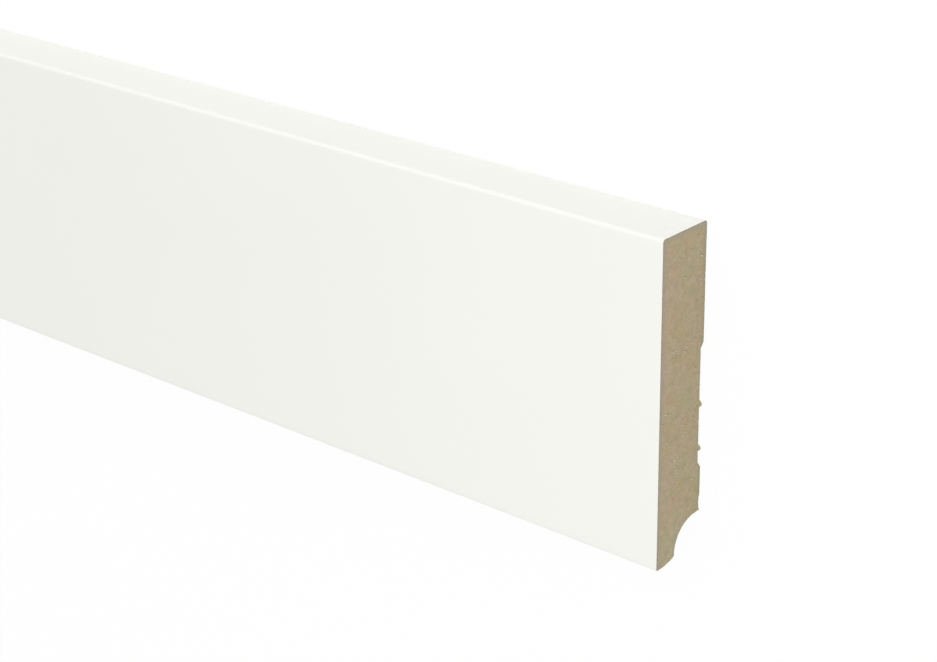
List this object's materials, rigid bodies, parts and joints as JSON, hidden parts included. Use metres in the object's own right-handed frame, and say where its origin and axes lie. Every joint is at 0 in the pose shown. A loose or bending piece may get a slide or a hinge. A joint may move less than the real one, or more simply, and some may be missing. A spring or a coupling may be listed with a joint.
{
  "type": "skirting board length",
  "caption": "Length of white foil-wrapped MDF skirting board with a plain square-edged face, a relieved and ribbed back, and a quarter-round cable cove at the foot.",
  "frame": {"origin": "centre of the board's footprint as it lies on its back, on the plane of the back", "axes": "+X along the board to the sawn end that the picture shows, +Y across it to its top edge, +Z out of its white face"},
  "size_m": [2.4, 0.09, 0.018],
  "materials": {
    "mdf": "matte",
    "white_foil": "satin"
  },
  "bodies": {
    "root": {"mdf_moulding": "mdf", "foil_wrap": "white_foil"}
  },
  "joints": []
}
